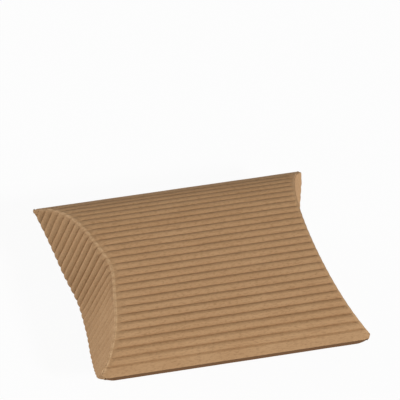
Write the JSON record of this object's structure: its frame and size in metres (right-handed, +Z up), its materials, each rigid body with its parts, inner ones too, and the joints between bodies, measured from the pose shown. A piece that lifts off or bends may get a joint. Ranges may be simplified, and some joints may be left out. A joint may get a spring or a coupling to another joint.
{
  "type": "favor box",
  "caption": "Pillow-shaped favor box of corrugated kraft board, flutes outside, with curved end creases and inner and outer end flaps that open.",
  "frame": {"origin": "on the surface the box rests on, under the centre of the box", "axes": "+X along the flutes towards the right end, +Y across the flutes towards the glued seam, +Z up through the top panel"},
  "size_m": [0.1096, 0.0876, 0.0325],
  "materials": {
    "kraft_medium": "matte fluted kraft",
    "kraft_liner": "matte flat kraft",
    "glue": "dried glue film"
  },
  "bodies": {
    "box": {"top_liner": "kraft_liner", "top_fluting": "kraft_medium", "bottom_liner": "kraft_liner", "bottom_fluting": "kraft_medium", "near_fold": "kraft_medium", "seam_fold": "kraft_medium", "top_seam_edge": "kraft_medium", "seam_tab": "kraft_liner", "seam_glue": "glue"},
    "left_outer_flap": {"left_outer_mid_liner": "kraft_liner", "left_outer_mid_fluting": "kraft_medium"},
    "left_outer_far_strip": {"left_outer_far_liner": "kraft_liner", "left_outer_far_fluting": "kraft_medium"},
    "left_outer_near_strip": {"left_outer_near_liner": "kraft_liner", "left_outer_near_fluting": "kraft_medium"},
    "left_inner_flap": {"left_inner_mid_liner": "kraft_liner", "left_inner_mid_fluting": "kraft_medium"},
    "left_inner_far_strip": {"left_inner_far_liner": "kraft_liner", "left_inner_far_fluting": "kraft_medium"},
    "left_inner_near_strip": {"left_inner_near_liner": "kraft_liner", "left_inner_near_fluting": "kraft_medium"},
    "right_outer_flap": {"right_outer_mid_liner": "kraft_liner", "right_outer_mid_fluting": "kraft_medium"},
    "right_outer_far_strip": {"right_outer_far_liner": "kraft_liner", "right_outer_far_fluting": "kraft_medium"},
    "right_outer_near_strip": {"right_outer_near_liner": "kraft_liner", "right_outer_near_fluting": "kraft_medium"},
    "right_inner_flap": {"right_inner_mid_liner": "kraft_liner", "right_inner_mid_fluting": "kraft_medium"},
    "right_inner_far_strip": {"right_inner_far_liner": "kraft_liner", "right_inner_far_fluting": "kraft_medium"},
    "right_inner_near_strip": {"right_inner_near_liner": "kraft_liner", "right_inner_near_fluting": "kraft_medium"}
  },
  "joints": [
    {"name": "left_outer_fold", "type": "hinge", "parent": "box", "child": "left_outer_flap", "pos_m": [-0.0406, 0, 0.031], "axis": [0, 1, 0], "range_deg": [-15, 75]},
    {"name": "left_outer_far_flex", "type": "hinge", "parent": "left_outer_flap", "child": "left_outer_far_strip", "pos_m": [-0.04527, 0.01804, 0.01791], "axis": [-0.2588, 0, -0.9659], "range_deg": [-7.71, 38.53]},
    {"name": "left_outer_near_flex", "type": "hinge", "parent": "left_outer_flap", "child": "left_outer_near_strip", "pos_m": [-0.04515, -0.01697, 0.01787], "axis": [0.2588, 0, 0.9659], "range_deg": [-7.23, 36.13]},
    {"name": "left_inner_fold", "type": "hinge", "parent": "box", "child": "left_inner_flap", "pos_m": [-0.0384, 0, 0.0014], "axis": [0, -1, 0], "range_deg": [-16.41, 82.01]},
    {"name": "left_inner_far_flex", "type": "hinge", "parent": "left_inner_flap", "child": "left_inner_far_strip", "pos_m": [-0.04088, 0.01751, 0.00997], "axis": [0.1392, 0, -0.9903], "range_deg": [-8.09, 40.39]},
    {"name": "left_inner_near_flex", "type": "hinge", "parent": "left_inner_flap", "child": "left_inner_near_strip", "pos_m": [-0.04088, -0.01751, 0.00997], "axis": [-0.1392, 0, 0.9903], "range_deg": [-7.23, 36.09]},
    {"name": "right_outer_fold", "type": "hinge", "parent": "box", "child": "right_outer_flap", "pos_m": [0.0406, 0, 0.031], "axis": [0, -1, 0], "range_deg": [-15, 75]},
    {"name": "right_outer_far_flex", "type": "hinge", "parent": "right_outer_flap", "child": "right_outer_far_strip", "pos_m": [0.04527, 0.01804, 0.01791], "axis": [-0.2588, 0, 0.9659], "range_deg": [-7.71, 38.53]},
    {"name": "right_outer_near_flex", "type": "hinge", "parent": "right_outer_flap", "child": "right_outer_near_strip", "pos_m": [0.04515, -0.01697, 0.01787], "axis": [0.2588, 0, -0.9659], "range_deg": [-7.23, 36.13]},
    {"name": "right_inner_fold", "type": "hinge", "parent": "box", "child": "right_inner_flap", "pos_m": [0.0384, 0, 0.0014], "axis": [0, 1, 0], "range_deg": [-16.41, 82.01]},
    {"name": "right_inner_far_flex", "type": "hinge", "parent": "right_inner_flap", "child": "right_inner_far_strip", "pos_m": [0.04088, 0.01751, 0.00997], "axis": [0.1392, 0, 0.9903], "range_deg": [-8.09, 40.39]},
    {"name": "right_inner_near_flex", "type": "hinge", "parent": "right_inner_flap", "child": "right_inner_near_strip", "pos_m": [0.04088, -0.01751, 0.00997], "axis": [-0.1392, 0, -0.9903], "range_deg": [-7.23, 36.09]}
  ],
  "couplings": [
    {"joint": "left_outer_far_flex", "follows": "left_outer_fold", "ratio": 0.51362},
    {"joint": "left_outer_near_flex", "follows": "left_outer_fold", "ratio": 0.48156},
    {"joint": "left_inner_fold", "follows": "left_outer_fold", "ratio": 1.0933},
    {"joint": "left_inner_far_flex", "follows": "left_outer_fold", "ratio": 0.53841},
    {"joint": "left_inner_near_flex", "follows": "left_outer_fold", "ratio": 0.48113},
    {"joint": "right_outer_far_flex", "follows": "right_outer_fold", "ratio": 0.51362},
    {"joint": "right_outer_near_flex", "follows": "right_outer_fold", "ratio": 0.48156},
    {"joint": "right_inner_fold", "follows": "right_outer_fold", "ratio": 1.0933},
    {"joint": "right_inner_far_flex", "follows": "right_outer_fold", "ratio": 0.53841},
    {"joint": "right_inner_near_flex", "follows": "right_outer_fold", "ratio": 0.48113}
  ]
}
